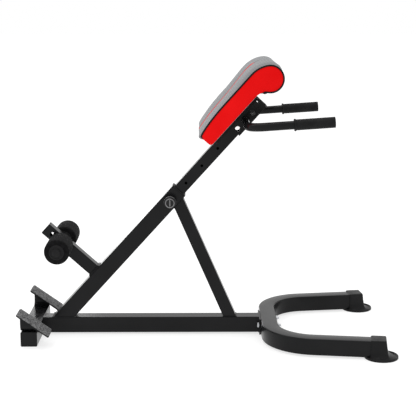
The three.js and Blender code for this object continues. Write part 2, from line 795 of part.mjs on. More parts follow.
function padBoard() {
  const from = PAD_FROM + 12;
  const to = ROLL_FROM - 1;
  const half = PAD_WIDTH / 2 - 14;
  let board = prismZ(roundedRect(from, to, -half, half, 15), BOARD_LOW, PAD_LOW - GAP, 4);
  for (const s of PAD_BOLTS) {
    board = cut(board, padBoltHole(s, 1), padBoltHole(s, -1));
  }
  return piece("pad_board", board, FINISH.wood);
}

// The pad's side outline: a flat slab that swells into a roll at its upper end.
function padOutline() {
  const under = THREE.MathUtils.degToRad(215); // where the hollow below meets the roll
  const nose = THREE.MathUtils.degToRad(50); // where the roll meets the crest
  const rollLow = ROLL_RADIUS * Math.sin(under);
  const hollow = (PAD_LOW - ROLL_N - rollLow) / (1 + Math.sin(under));
  const hollowS = ROLL_S + (ROLL_RADIUS + hollow) * Math.cos(under);
  const crest = (PAD_HIGH - ROLL_N - ROLL_RADIUS * Math.sin(nose)) / (1 - Math.sin(nose));
  const crestS = ROLL_S - (crest - ROLL_RADIUS) * Math.cos(nose);
  const cornerS = PAD_FROM + PAD_CORNER;
  const shape = new THREE.Shape();
  shape.absarc(cornerS, PAD_LOW + PAD_CORNER, PAD_CORNER, Math.PI, 1.5 * Math.PI);
  shape.absarc(hollowS, PAD_LOW - hollow, hollow, Math.PI / 2, under - Math.PI, true);
  shape.absarc(ROLL_S, ROLL_N, ROLL_RADIUS, under, 2 * Math.PI + nose);
  shape.absarc(crestS, PAD_HIGH - crest, crest, nose, Math.PI / 2);
  shape.lineTo(PAD_FALL_FROM, PAD_HIGH);
  shape.quadraticCurveTo(270, PAD_HIGH, PAD_FROM + 2, PAD_END_HIGH);
  return shape.lineTo(PAD_FROM, PAD_END_HIGH - 2).closePath();
}

const CUSHION_HALF = PAD_WIDTH / 2 - VINYL_THICK - GAP;

// Flat cushion on one side of the middle slot.
function hipCushion(side, sign) {
  const space = box(0, ROLL_FROM - GAP, PAD_SLOT / 2, CUSHION_HALF, 0, 2 * PAD_HIGH);
  const cushion = slabY(padOutline(), 2 * CUSHION_HALF, 6).intersect(space);
  return piece("hip_cushion_" + side, sign > 0 ? cushion : cushion.mirror([0, 1, 0]), FINISH.cushion);
}

// Roll across the top of the pad, where the slot between the cushions runs out.
function hipRoll() {
  const half = PAD_SLOT / 2;
  const lower = box(0, ROLL_FROM, -PAD_WIDTH, PAD_WIDTH, -PAD_HIGH, 2 * PAD_HIGH);
  const crest = box(0, PAD_SLOT_TO, -half, half, ROLL_N, 2 * PAD_HIGH);
  const roll = cut(slabY(padOutline(), 2 * CUSHION_HALF, 12), lower, crest);
  return piece("hip_roll", roll, FINISH.cushion);
}

// Vinyl panel that closes one side of the cushion and the roll.
function padSide(side, sign) {
  const y = sign * (PAD_WIDTH - VINYL_THICK) / 2;
  const panel = slabY(padOutline(), VINYL_THICK, 12).translate([0, y, 0]);
  return piece("pad_side_" + side, panel, FINISH.vinyl);
}

// ---- Handlebar ----------------------------------------------------------------------------

// A handle's direction in the post's frame: forwards and slightly up.
const handleWay = new THREE.Vector3(
  Math.cos(BAR_RISE - POST_ANGLE),
  0,
  Math.sin(BAR_RISE - POST_ANGLE),
);

const handlePoint = (sign, along) =>
  new THREE.Vector3(HANDLE_S, sign * BAR_HALF_WIDTH, HANDLE_N).addScaledVector(handleWay, along);

function handlebar() {
  const end = BAR_REACH - GRIP_END;
  const corners = [handlePoint(1, end), handlePoint(1, 0), handlePoint(-1, 0), handlePoint(-1, end)];
  const geometry = new THREE.ExtrudeGeometry(ringShape(BAR_RADIUS, BAR_RADIUS - WALL), {
    steps: 44,
    curveSegments: 5,
    extrudePath: bentPath(corners, BAR_BEND_RADIUS),
  });
  return piece("handlebar", solid(geometry), FINISH.powder);
}

// Closed-end sleeve grip with a collar, drawn along Y with the bar's end at y = 0.
function handleGrip(side, sign) {
  const bore = BAR_RADIUS + GAP;
  const grip = turnedY([
    [0, GAP],
    [bore, GAP],
    [bore, -GRIP_LENGTH],
    [GRIP_RADIUS + 2, -GRIP_LENGTH],
    [GRIP_RADIUS + 2, 5 - GRIP_LENGTH],
    [GRIP_RADIUS, 6 - GRIP_LENGTH],
    [GRIP_RADIUS, GRIP_END - 3],
    [GRIP_RADIUS - 3, GRIP_END],
    [0, GRIP_END],
  ]);
  const mesh = piece("handle_grip_" + side, grip, FINISH.grip);
  mesh.position.copy(handlePoint(sign, BAR_REACH - GRIP_END));
  mesh.quaternion.setFromUnitVectors(new THREE.Vector3(0, 1, 0), handleWay);
  return mesh;
}

// ---- Assembly -----------------------------------------------------------------------------

const chair = new THREE.Group();
chair.name = "roman_chair";
chair.add(rearCrossbar(), footStrap(), footPlates(), baseTube(), frontFlange(), frontUTube(), flangeBolts());
chair.add(footCap("left", 1), footCap("right", -1), braceTube());

const slope = postFrame();
slope.add(outerPost(), postSleeve(), ankleArm(), rollerAxle());
slope.add(axleCap("left", 1), axleCap("right", -1));
slope.add(ankleRoller("left", 1), ankleRoller("right", -1));
slope.add(pinBarrel(), pinSpring(), plungerPin(), pinKnob());
slope.add(innerPost(), postGlide(), postEndCap(), padBracket("left", 1), padBracket("right", -1));
slope.add(padBoard(), padBolts(), hipRoll());
slope.add(hipCushion("left", 1), hipCushion("right", -1), padSide("left", 1), padSide("right", -1));
slope.add(handlebar(), handleGrip("left", 1), handleGrip("right", -1));
chair.add(slope);

export default chair;
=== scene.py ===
import json
import math
import random

import bmesh
import bpy
from mathutils import Matrix, Vector, noise


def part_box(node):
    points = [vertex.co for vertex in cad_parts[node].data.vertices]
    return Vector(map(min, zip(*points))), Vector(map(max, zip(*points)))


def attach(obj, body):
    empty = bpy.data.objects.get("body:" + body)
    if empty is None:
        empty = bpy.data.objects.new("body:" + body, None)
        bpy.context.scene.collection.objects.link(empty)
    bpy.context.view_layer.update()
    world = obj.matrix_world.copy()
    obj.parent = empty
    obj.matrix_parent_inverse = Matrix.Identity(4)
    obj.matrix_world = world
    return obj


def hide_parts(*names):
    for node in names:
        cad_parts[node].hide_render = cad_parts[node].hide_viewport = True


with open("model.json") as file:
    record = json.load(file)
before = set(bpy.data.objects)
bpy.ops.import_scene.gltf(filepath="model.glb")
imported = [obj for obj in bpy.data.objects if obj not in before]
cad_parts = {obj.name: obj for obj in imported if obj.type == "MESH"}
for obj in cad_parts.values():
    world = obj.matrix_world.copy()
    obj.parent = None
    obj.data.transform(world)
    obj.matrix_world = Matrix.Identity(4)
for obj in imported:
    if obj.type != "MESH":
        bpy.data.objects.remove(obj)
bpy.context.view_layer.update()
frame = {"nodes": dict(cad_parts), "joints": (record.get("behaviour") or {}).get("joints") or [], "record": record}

# Looks of the roman chair, in metres: +X forwards over the hip pad, +Y to the user's left, +Z up.


# ---- Places taken from the CAD frame --------------------------------------------------------


def centre(node):
    low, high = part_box(node)
    return (low + high) / 2


# The sloping post's own frame: s runs up along the post, y across, and n square to the post.
SLIDE = next(joint for joint in frame["joints"] if joint["name"] == "height_slide")
ALONG = Vector(SLIDE["axis"]).normalized()
ACROSS = Vector((0, 1, 0))
OUTWARDS = ALONG.cross(ACROSS)
POST_TILT = math.atan2(ALONG.z, ALONG.x)
PIN_CENTRE = centre("pin_barrel")


def frame_matrix(x_axis, y_axis, z_axis, origin):
    """Matrix that takes points of a local frame to the row frame."""
    matrix = Matrix((x_axis, y_axis, z_axis)).transposed().to_4x4()
    matrix.translation = origin
    return matrix


SLOPE = frame_matrix(ALONG, ACROSS, OUTWARDS, (PIN_CENTRE.x, 0, PIN_CENTRE.z))


def box_in(matrix, node):
    """A CAD node's lowest and highest corner in a local frame."""
    inverse = matrix.inverted()
    points = [inverse @ vertex.co for vertex in frame["nodes"][node].data.vertices]
    low = Vector([min(p[i] for p in points) for i in range(3)])
    high = Vector([max(p[i] for p in points) for i in range(3)])
    return low, high


def square_to(direction):
    """Two directions square to the given one and to each other."""
    first = direction.orthogonal().normalized()
    return first, direction.cross(first).normalized()


# ---- Mesh helpers ---------------------------------------------------------------------------

SMOOTH_ANGLE = math.radians(38)


def finish_mesh(name, bm, sharp_angle=SMOOTH_ANGLE):
    """Object from a bmesh, shaded smooth apart from its sharp edges."""
    bmesh.ops.recalc_face_normals(bm, faces=bm.faces)
    mesh = bpy.data.meshes.new(name)
    bm.to_mesh(mesh)
    bm.free()
    for polygon in mesh.polygons:
        polygon.use_smooth = True
    mesh.set_sharp_from_angle(angle=sharp_angle)
    piece = bpy.data.objects.new(name, mesh)
    bpy.context.scene.collection.objects.link(piece)
    return piece


def loft(bm, rings, closed_ends=True, looped=False):
    """Skin over rings that all have the same number of points."""
    loops = [[bm.verts.new(point) for point in ring] for ring in rings]
    pairs = list(zip(loops, loops[1:]))
    if looped:
        pairs.append((loops[-1], loops[0]))
    for first, second in pairs:
        for i in range(len(first)):
            j = (i + 1) % len(first)
            bm.faces.new((first[i], first[j], second[j], second[i]))
    if closed_ends and not looped:
        bm.faces.new(list(reversed(loops[0])))
        bm.faces.new(loops[-1])


def turned(bm, origin, direction, profile, steps=64):
    """Closed ring or solid turned about a line, from (radius, distance along the line) points."""
    side, up = square_to(direction)
    rings = []
    for radius, along in profile:
        place = origin + direction * along
        ring = []
        for k in range(steps):
            angle = math.tau * k / steps
            ring.append(place + (side * math.cos(angle) + up * math.sin(angle)) * max(radius, 1e-5))
        rings.append(ring)
    solid_ends = profile[0][0] == 0
    loft(bm, rings, closed_ends=solid_ends, looped=not solid_ends)


def path_frames(points):
    """Tangent, side and up at each point of a path, turning no more than the path does."""
    frames = []
    side = None
    for i, point in enumerate(points):
        before, after = points[max(i - 1, 0)], points[min(i + 1, len(points) - 1)]
        tangent = (after - before).normalized()
        if side is None:
            side = tangent.cross(Vector((0, 0, 1)))
            if side.length < 0.1:
                side = tangent.cross(ACROSS)
        side = (side - tangent * side.dot(tangent)).normalized()
        frames.append((point, side, tangent.cross(side).normalized()))
    return frames


def sweep(bm, points, profile):
    """Bar of one section along a path; the profile's points are (side, up)."""
    rings = []
    for point, side, up in path_frames(points):
        rings.append([point + side * a + up * b for a, b in profile])
    loft(bm, rings)


def circle(radius, steps):
    return [
        (radius * math.cos(math.tau * k / steps), radius * math.sin(math.tau * k / steps))
        for k in range(steps)
    ]


def rounded_square(side, corner, steps=5):
    """Section of a square tube, its corners rounded."""
    half = side / 2 - corner
    points = []
    for quarter in range(4):
        cx = half if quarter in (0, 3) else -half
        cy = half if quarter in (0, 1) else -half
        for k in range(steps + 1):
            angle = math.pi / 2 * (quarter + k / steps)
            points.append((cx + corner * math.cos(angle), cy + corner * math.sin(angle)))
    return points


def cord_between(name, points, radius, steps=10):
    """Round cord along a path, with its two ends drawn in."""
    bm = bmesh.new()
    rings = []
    frames = path_frames(points)
    last = len(frames) - 1
    for i, (point, side, up) in enumerate(frames):
        shrink = 0.55 if i in (0, last) else 1.0
        section = circle(radius * shrink, steps)
        rings.append([point + side * a + up * b for a, b in section])
    loft(bm, rings)
    return finish_mesh(name, bm)


def bent_path(corners, radius, arc_steps=14, spacing=0.02):
    """Points along straight runs whose corners are bent to one radius."""
    points = []
    start = corners[0]
    for before, corner, after in zip(corners, corners[1:], corners[2:]):
        along = (corner - before).normalized()
        onwards = (after - corner).normalized()
        turn = along.angle(onwards)
        setback = radius * math.tan(turn / 2)
        inwards = (onwards - along * along.dot(onwards)).normalized()
        bend_start = corner - along * setback
        points += straight(start, bend_start, spacing)
        hub = bend_start + inwards * radius
        for k in range(arc_steps):
            angle = turn * k / arc_steps
            points.append(hub - inwards * radius * math.cos(angle) + along * radius * math.sin(angle))
        start = corner + onwards * setback
    return points + straight(start, corners[-1], spacing) + [corners[-1]]


def straight(start, end, spacing):
    count = max(1, round((end - start).length / spacing))
    return [start.lerp(end, k / count) for k in range(count)]


# ---- Materials ------------------------------------------------------------------------------


class Look:
    """A Principled material with the texture nodes that feed it."""

    def __init__(self, name, **sockets):
        self.material = bpy.data.materials.new(name)
        self.material.use_nodes = True
        self.nodes = self.material.node_tree.nodes
        self.links = self.material.node_tree.links
        self.shader = self.nodes["Principled BSDF"]
        for socket, value in sockets.items():
            self.shader.inputs[socket.replace("_", " ")].default_value = value
        self.place = self.nodes.new("ShaderNodeTexCoord").outputs["Object"]
        self.normal = None

    def feed(self, node, socket, value):
        if isinstance(value, bpy.types.NodeSocket):
            self.links.new(value, node.inputs[socket])
        else:
            node.inputs[socket].default_value = value

    def mapped(self, rotation=(0, 0, 0), scale=(1, 1, 1)):
        node = self.nodes.new("ShaderNodeMapping")
        self.links.new(self.place, node.inputs["Vector"])
        node.inputs["Rotation"].default_value = rotation
        node.inputs["Scale"].default_value = scale
        return node.outputs["Vector"]

    def noise(self, scale, detail=3.0, vector=None, distortion=0.0):
        node = self.nodes.new("ShaderNodeTexNoise")
        self.links.new(vector or self.place, node.inputs["Vector"])
        node.inputs["Scale"].default_value = scale
        node.inputs["Detail"].default_value = detail
        node.inputs["Distortion"].default_value = distortion
        return node.outputs["Fac"]

    def cells(self, scale, vector=None):
        node = self.nodes.new("ShaderNodeTexVoronoi")
        self.links.new(vector or self.place, node.inputs["Vector"])
        node.inputs["Scale"].default_value = scale
        return node.outputs["Distance"]

    def waves(self, scale, axis, vector=None, distortion=0.0):
        node = self.nodes.new("ShaderNodeTexWave")
        node.bands_direction = axis
        self.links.new(vector or self.place, node.inputs["Vector"])
        node.inputs["Scale"].default_value = scale
        node.inputs["Distortion"].default_value = distortion
        return node.outputs["Fac"]

    def math(self, operation, first, second):
        node = self.nodes.new("ShaderNodeMath")
        node.operation = operation
        self.feed(node, 0, first)
        self.feed(node, 1, second)
        return node.outputs[0]

    def spread(self, value, low, high, from_low=0.3, from_high=0.7):
        """The texture's usual values stretched over low to high."""
        node = self.nodes.new("ShaderNodeMapRange")
        self.links.new(value, node.inputs["Value"])
        for socket, number in zip(("From Min", "From Max", "To Min", "To Max"),
                                  (from_low, from_high, low, high)):
            node.inputs[socket].default_value = number
        return node.outputs["Result"]

    def colour(self, factor, dark, light):
        node = self.nodes.new("ShaderNodeMix")
        node.data_type = "RGBA"
        self.feed(node, 0, factor)
        self.feed(node, 6, (*dark, 1))
        self.feed(node, 7, (*light, 1))
        self.links.new(node.outputs[2], self.shader.inputs["Base Color"])

    def roughness(self, value):
        self.links.new(value, self.shader.inputs["Roughness"])

    def bump(self, height, depth, strength=1.0):
        """Relief of the given depth in metres, added to what is there."""
        node = self.nodes.new("ShaderNodeBump")
        node.inputs["Strength"].default_value = strength
        node.inputs["Distance"].default_value = depth
        self.links.new(height, node.inputs["Height"])
        if self.normal is not None:
            self.links.new(self.normal, node.inputs["Normal"])
        self.normal = node.outputs["Normal"]
        self.links.new(self.normal, self.shader.inputs["Normal"])


def powder_coat(name, roughest, level):
    look = Look(name, Specular_IOR_Level=level)
    patches = look.noise(7, 4)
    look.colour(look.spread(patches, 0, 1), (0.0045, 0.0046, 0.0049), (0.0085, 0.0086, 0.0091))
    handled = look.noise(28, 5, distortion=0.6)
    look.roughness(look.spread(handled, roughest * 0.72, roughest))
    look.bump(look.noise(420, 2), 0.0001, 0.4)
    look.bump(look.noise(1500, 2), 0.00003, 0.3)
    return look.material


def moulded_plastic():
    look = Look("moulded_plastic", Specular_IOR_Level=0.16)
    look.colour(look.spread(look.noise(15), 0, 1), (0.0045, 0.0045, 0.0048), (0.0085, 0.0085, 0.009))
    look.roughness(look.spread(look.noise(60), 0.36, 0.5))
    look.bump(look.cells(900), 0.00007, 0.5)
    return look.material


def knob_plastic(name, dark, light):
    look = Look(name, Specular_IOR_Level=0.25)
    look.colour(look.spread(look.noise(40), 0, 1), dark, light)
    look.roughness(look.spread(look.noise(90), 0.3, 0.42))
    look.bump(look.noise(900), 0.00004, 0.5)
    return look.material


def zinc_plate():
    look = Look("zinc_plate", Metallic=1.0)
    look.colour(look.spread(look.noise(120), 0, 1), (0.46, 0.47, 0.49), (0.66, 0.67, 0.69))
    look.roughness(look.spread(look.noise(300), 0.28, 0.46))
    look.bump(look.noise(2200), 0.00003, 0.5)
    return look.material


def polished_chrome():
    look = Look("polished_chrome", Metallic=1.0)
    look.colour(look.spread(look.noise(50), 0, 1), (0.66, 0.67, 0.69), (0.8, 0.81, 0.83))
    turned_marks = look.noise(300, 2, look.mapped(scale=(1, 12, 1)))
    look.roughness(look.spread(turned_marks, 0.1, 0.22))
    look.bump(turned_marks, 0.00001, 0.4)
    return look.material


def tread_rubber():
    look = Look("tread_rubber", Specular_IOR_Level=0.2)
    worn = look.noise(130, 5)
    look.colour(look.spread(worn, 0, 1), (0.045, 0.045, 0.046), (0.24, 0.24, 0.243))
    look.roughness(look.spread(worn, 0.85, 0.6))
    look.bump(look.noise(1300), 0.00015, 0.7)
    return look.material


def grip_rubber():
    look = Look("grip_rubber", Specular_IOR_Level=0.14)
    look.colour(look.spread(look.noise(35), 0, 1), (0.005, 0.005, 0.0053), (0.01, 0.01, 0.0104))
    look.roughness(look.spread(look.noise(80), 0.55, 0.75))
    look.bump(look.cells(1300), 0.00012, 0.7)
    return look.material


def roller_foam():
    look = Look("roller_foam", Specular_IOR_Level=0.1)
    look.colour(look.spread(look.noise(90), 0, 1), (0.0035, 0.0035, 0.0037), (0.0085, 0.0085, 0.0089))
    look.roughness(look.spread(look.noise(200), 0.8, 0.98))
    look.bump(look.cells(1100), 0.0003, 0.8)
    look.bump(look.noise(160), 0.0003, 0.5)
    return look.material


def stained_plywood():
    """Pad board stained black, its veneer grain still showing."""
    look = Look("stained_plywood", Specular_IOR_Level=0.12)
    grain = look.waves(14, "Y", look.mapped(rotation=(0, POST_TILT, 0), scale=(0.25, 4, 1)), 6)
    look.colour(look.spread(grain, 0, 1, 0, 1), (0.005, 0.005, 0.005), (0.013, 0.012, 0.011))
    look.roughness(look.spread(look.noise(90), 0.6, 0.8))
    look.bump(grain, 0.0001, 0.5)
    return look.material


def woven(look, thread, depth):
    """Plain weave relief in the post's frame, with the given thread spacing."""
    flat = look.mapped(rotation=(0, POST_TILT, 0))
    per_metre = 1 / (2 * math.pi * thread) * 0.31
    warp = look.waves(per_metre, "X", flat)
    weft = look.waves(per_metre, "Y", flat)
    cloth = look.math("MULTIPLY", warp, weft)
    look.bump(cloth, depth, 0.8)
    return cloth


def pad_fabric():
    look = Look("pad_fabric", Specular_IOR_Level=0.15, Sheen_Weight=0.25, Sheen_Roughness=0.5)
    cloth = woven(look, 0.0011, 0.00025)
    melange = look.noise(700, 2)
    shade = look.math("ADD", look.spread(melange, 0, 0.6), look.math("MULTIPLY", cloth, 0.5))
    look.colour(shade, (0.105, 0.109, 0.115), (0.21, 0.215, 0.223))
    look.roughness(look.spread(look.noise(90), 0.8, 0.95))
    look.bump(look.noise(40, 2), 0.0008, 0.35)
    return look.material


def pad_vinyl():
    look = Look("pad_vinyl", Specular_IOR_Level=0.06)
    look.colour(look.spread(look.noise(9), 0, 1), (0.68, 0.0015, 0.002), (0.77, 0.004, 0.0045))
    look.roughness(look.spread(look.noise(60), 0.45, 0.6))
    look.bump(look.cells(850), 0.00018, 0.6)
    look.bump(look.noise(30, 2), 0.0015, 0.3)
    return look.material


def piping_vinyl():
    look = Look("piping_vinyl", Specular_IOR_Level=0.12)
    look.colour(look.spread(look.noise(60), 0, 1), (0.003, 0.003, 0.0033), (0.007, 0.007, 0.0073))
    look.roughness(look.spread(look.noise(100), 0.4, 0.55))
    look.bump(look.cells(1000), 0.00012, 0.6)
    return look.material


def plain_cloth(name, thread, dark, light):
    look = Look(name, Specular_IOR_Level=0.1)
    cloth = woven(look, thread, 0.0002)
    look.colour(cloth, dark, light)
    look.roughness(look.spread(look.noise(200), 0.85, 0.97))
    return look.material


POWDER = powder_coat("powder_coat", 0.24, 0.14)
GLOSS = powder_coat("gloss_coat", 0.1, 0.12)
PLASTIC = moulded_plastic()
KNOB = knob_plastic("knob_plastic", (0.006, 0.006, 0.0063), (0.01, 0.01, 0.0104))
# Lighter grey for the knob's rim and grip bar, partly standing in as their painted highlight, and for the painted
# highlight bead over the top of the skirt.
KNOB_GREY_AND_HIGHLIGHT = knob_plastic("knob_grey_and_highlight", (0.12, 0.12, 0.122), (0.2, 0.2, 0.203))
ZINC = zinc_plate()
CHROME = polished_chrome()
TREAD = tread_rubber()
GRIP = grip_rubber()
FOAM = roller_foam()
WOOD = stained_plywood()
FABRIC = pad_fabric()
VINYL = pad_vinyl()
PIPING = piping_vinyl()
BACKING = plain_cloth("backing_cloth", 0.0018, (0.006, 0.006, 0.0065), (0.018, 0.018, 0.0185))
# Pale grey-teal for the strip along the pad board's edge, partly a painted highlight of that edge.
PALE_EDGE_AND_HIGHLIGHT = plain_cloth("pale_edge_and_highlight", 0.0012, (0.2, 0.23, 0.24), (0.34, 0.37, 0.38))

SLOT_MATERIAL = {
    "powder_coat": POWDER,
    "black_plastic": PLASTIC,
    "zinc": ZINC,
    "chrome": CHROME,
    "tread_rubber": TREAD,
    "grip_rubber": GRIP,
    "roller_foam": FOAM,
    "plywood": WOOD,
    "pad_fabric": FABRIC,
    "pad_vinyl": VINYL,
}


def place(piece, body, material, slot=None, replaces=()):
    """Gives a finished piece its material, its body and the CAD nodes that it stands for."""
    if material is not None:
        piece.data.materials.append(material)
    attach(piece, body)
    if replaces:
        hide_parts(*replaces)
    return piece


# ---- CAD nodes that stay in view ------------------------------------------------------------

EDGE_ROUNDING = {
    "rear_crossbar": 0.0007,
    "base_tube": 0.0007,
    "outer_post": 0.0007,
    "brace_tube": 0.0007,
    "inner_post": 0.0006,
    "ankle_arm": 0.0006,
    "foot_strap": 0.001,
    "front_flange": 0.001,
    "pad_bracket_left": 0.0007,
    "pad_bracket_right": 0.0007,
    "foot_plate_left": 0.0008,
    "foot_plate_right": 0.0008,
    "pad_board": 0.001,
}
DEFAULT_ROUNDING = 0.0004


def dress_cad_nodes():
    """Finish and rounded edges for every CAD node; the replaced ones are hidden later."""
    for row in frame["record"]["subparts"]:
        node = frame["nodes"][row["node"]]
        node.data.materials.clear()
        node.data.materials.append(SLOT_MATERIAL[row["material_slot"]])
        weld = node.modifiers.new("weld", "WELD")
        weld.merge_threshold = 0.00002
        bevel = node.modifiers.new("bevel", "BEVEL")
        bevel.width = EDGE_ROUNDING.get(row["node"], DEFAULT_ROUNDING)
        bevel.segments = 2
        bevel.limit_method = "ANGLE"
        bevel.angle_limit = math.radians(40)


# ---- Hip pad --------------------------------------------------------------------------------

PAD_LOW_CORNER, PAD_HIGH_CORNER = box_in(SLOPE, "pad_side_right")
PAD_FROM = PAD_LOW_CORNER.x
PAD_TOP = PAD_HIGH_CORNER.z
PAD_HALF_WIDTH = -PAD_LOW_CORNER.y
PAD_BASE = box_in(SLOPE, "hip_cushion_right")[0].z
PAD_END_TOP = PAD_TOP - 0.011
ROLL_RADIUS = 0.038
ROLL_S = PAD_HIGH_CORNER.x - ROLL_RADIUS
ROLL_N = PAD_LOW_CORNER.z + ROLL_RADIUS
ROLL_UNDER = math.radians(215)  # where the hollow below the pad runs into the roll
ROLL_NOSE = math.radians(50)  # where the roll runs into the crest
FALL_FROM = PAD_FROM + 0.123
FALL_PULL = PAD_FROM + 0.043
BASE_CORNER = 0.008
FULLNESS = 0.003  # how far the stuffed cushions stand over their seams before they swell
SLOT_HALF = box_in(SLOPE, "hip_cushion_left")[0].y
SLOT_TO = ROLL_S + 0.019
SLOT_FLOOR = PAD_BASE + 0.004
PANEL_THICK = 0.002
# Side panel from its seam inwards: (distance in from the seam, height over the panel's back).
PANEL_STEPS = ((0.0, 0.0), (0.0, 0.0006), (0.0008, 0.0016), (0.0022, 0.0026), (0.0045, 0.0035),
               (0.0075, 0.0041), (0.011, 0.0045), (0.016, 0.0047))
PIPING_RADIUS = 0.0026
# The piping's end in the hollow under the roll, measured from the roll's centre.
PIPING_START = ((-0.0445, -0.0112), (-0.0407, -0.013), (-0.0375, -0.0151), (-0.0345, -0.0178))
ROLL_FILL = 0.0065
END_FILL = 0.008
EDGE_FILL = 0.03  # how far in from a side seam the stuffing reaches its full height
CROWN_LIMIT = 0.0038
CLOTH_FRAMES = 20
CLOTH_PRESSURE = 24.0


def arc(cs, cn, radius, start, end, steps):
    """Points of an arc in the (s, n) plane."""
    points = []
    for k in range(steps + 1):
        angle = start + (end - start) * k / steps
        points.append((cs + radius * math.cos(angle), cn + radius * math.sin(angle)))
    return points


def seam_line(inset, steps=40):
    """The upper seam seen from the side: from under the roll, over the crest, down to the end."""
    radius, top = ROLL_RADIUS - inset, PAD_TOP - inset
    crest = (top - ROLL_N - radius * math.sin(ROLL_NOSE)) / (1 - math.sin(ROLL_NOSE))
    crest_s = ROLL_S - (crest - radius) * math.cos(ROLL_NOSE)
    line = arc(ROLL_S, ROLL_N, radius, ROLL_UNDER, math.tau + ROLL_NOSE, steps)
    line += arc(crest_s, top - crest, crest, ROLL_NOSE, math.pi / 2, 8)[1:]
    line += [(crest_s + (FALL_FROM - crest_s) * k / 6, top) for k in range(1, 6)]
    end, end_top = PAD_FROM + inset, PAD_END_TOP - inset
    for k in range(12):
        share = k / 11
        away, near = (1 - share) ** 2, 2 * share * (1 - share)
        s = away * FALL_FROM + near * FALL_PULL + share * share * (end + 0.0008)
        n = (away + near) * top + share * share * end_top
        line.append((s, n))
    return line


def side_outline(inset, steps=40):
    """The whole side outline, closed along the base and the hollow under the roll."""
    base, radius = PAD_BASE + inset, ROLL_RADIUS - inset
    corner = max(BASE_CORNER - inset, 0.001)
    hub = PAD_FROM + inset + corner
    low = radius * math.sin(ROLL_UNDER)
    hollow = (base - ROLL_N - low) / (1 + math.sin(ROLL_UNDER))
    hollow_s = ROLL_S + (radius + hollow) * math.cos(ROLL_UNDER)
    line = seam_line(inset, steps) + arc(hub, base + corner, corner, math.pi, 1.5 * math.pi, 6)
    line += arc(hollow_s, base - hollow, hollow, math.pi / 2, ROLL_UNDER - math.pi, 12)[:-1]
    return line


def slope_point(s, y, n):
    return SLOPE @ Vector((s, y, n))


def cut_box(target, low, high):
    """Takes a box, given in the post's frame, out of a mesh object."""
    bm = bmesh.new()
    size = [b - a for a, b in zip(low, high)]
    middle = [(a + b) / 2 for a, b in zip(low, high)]
    bmesh.ops.create_cube(bm, size=1, matrix=Matrix.Translation(middle) @ Matrix.Diagonal((*size, 1)))
    mesh = bpy.data.meshes.new("cutter")
    bm.to_mesh(mesh)
    bm.free()
    cutter = bpy.data.objects.new("cutter", mesh)
    bpy.context.scene.collection.objects.link(cutter)
    boolean = target.modifiers.new("cut", "BOOLEAN")
    boolean.object = cutter
    boolean.operation = "DIFFERENCE"
    boolean.solver = "EXACT"
    apply_modifiers(target)
    bpy.data.objects.remove(cutter)


def apply_modifiers(piece):
    """Turns a piece's modifiers into its mesh."""
    graph = bpy.context.evaluated_depsgraph_get()
    mesh = bpy.data.meshes.new_from_object(piece.evaluated_get(graph))
    piece.modifiers.clear()
    piece.data = mesh


def pad_block():
    """The cushions and roll before they swell, in the post's frame."""
    half = PAD_HALF_WIDTH - PANEL_THICK - 0.0005
    outline = side_outline(-FULLNESS)
    bm = bmesh.new()
    loft(bm, [[Vector((s, y, n)) for s, n in outline] for y in (-half, half)])
    block = finish_mesh("pad_body", bm)
    wall = SLOT_HALF + 0.0005
    cut_box(block, (PAD_FROM - 0.01, -wall, SLOT_FLOOR), (SLOT_TO - 0.03, wall, 0.12))
    cut_box(block, (SLOT_TO - 0.04, -wall * 0.7, PAD_TOP - 0.03), (SLOT_TO - 0.014, wall * 0.7, 0.12))
    cut_box(block, (SLOT_TO - 0.02, -wall * 0.4, PAD_TOP - 0.012), (SLOT_TO, wall * 0.4, 0.12))
    remesh = block.modifiers.new("voxels", "REMESH")
    remesh.mode = "VOXEL"
    remesh.voxel_size = 0.004
    apply_modifiers(block)
    for vertex in block.data.vertices:
        vertex.co += stuffing(vertex.co)
        if vertex.co.x < ROLL_S - 0.05:
            vertex.co.z = max(vertex.co.z, PAD_BASE)
    return block


def ease(value):
    """Smooth step from 0 to 1."""
    share = min(1.0, max(0.0, value))
    return share * share * (3 - 2 * share)


def stuffing(co):
    """How far the foam itself stands over the seams: over the roll and out at the lower end."""
    s, y, n = co
    inwards = ease((PAD_HALF_WIDTH - PANEL_THICK - abs(y)) / EDGE_FILL)
    rolled = ease((s - ROLL_S + 0.15) / 0.13) * ease((n - ROLL_N + 0.02) / 0.03)
    away = Vector((max(0.0, s - ROLL_S), 0, max(0.001, n - ROLL_N))).normalized()
    ended = ease((PAD_FROM + 0.06 - s) / 0.06) * ease((n - PAD_END_TOP + 0.016) / 0.012)
    return (away * ROLL_FILL * rolled + Vector((-END_FILL, 0, 0)) * ended) * inwards


def pad_hold(co):
    """Whether a seam or the board holds a point of the pad while the cushions swell: 1 or 0."""
    s, y, n = co
    half = PAD_HALF_WIDTH - PANEL_THICK
    underneath = n < PAD_BASE + 0.003 and s < ROLL_S - 0.036
    at_side = abs(y) > half - 0.003
    in_slot = abs(y) < SLOT_HALF + 0.003 and s < SLOT_TO + 0.002 and n > PAD_BASE
    at_end = s < PAD_FROM + 0.003 and n < PAD_END_TOP - 0.012
    return 1.0 if underneath or at_side or in_slot or at_end else 0.0


def swell(block):
    """Blows the cushions up with a cloth simulation, then scales the crown to CROWN_LIMIT."""
    rest = [vertex.co.copy() for vertex in block.data.vertices]
    held = block.vertex_groups.new(name="held")
    for i, co in enumerate(rest):
        weight = pad_hold(co)
        if weight > 0:
            held.add([i], weight, "REPLACE")
    swelled = simulate(block)
    moves = [after - before for before, after in zip(rest, swelled)]
    usual_peak = sorted(move.length for move in moves)[int(0.98 * len(moves))]
    for vertex, before, move in zip(block.data.vertices, rest, moves):
        move *= CROWN_LIMIT / max(usual_peak, move.length)
        vertex.co = before + move
    block.vertex_groups.clear()
    smooth_mesh(block, 2)


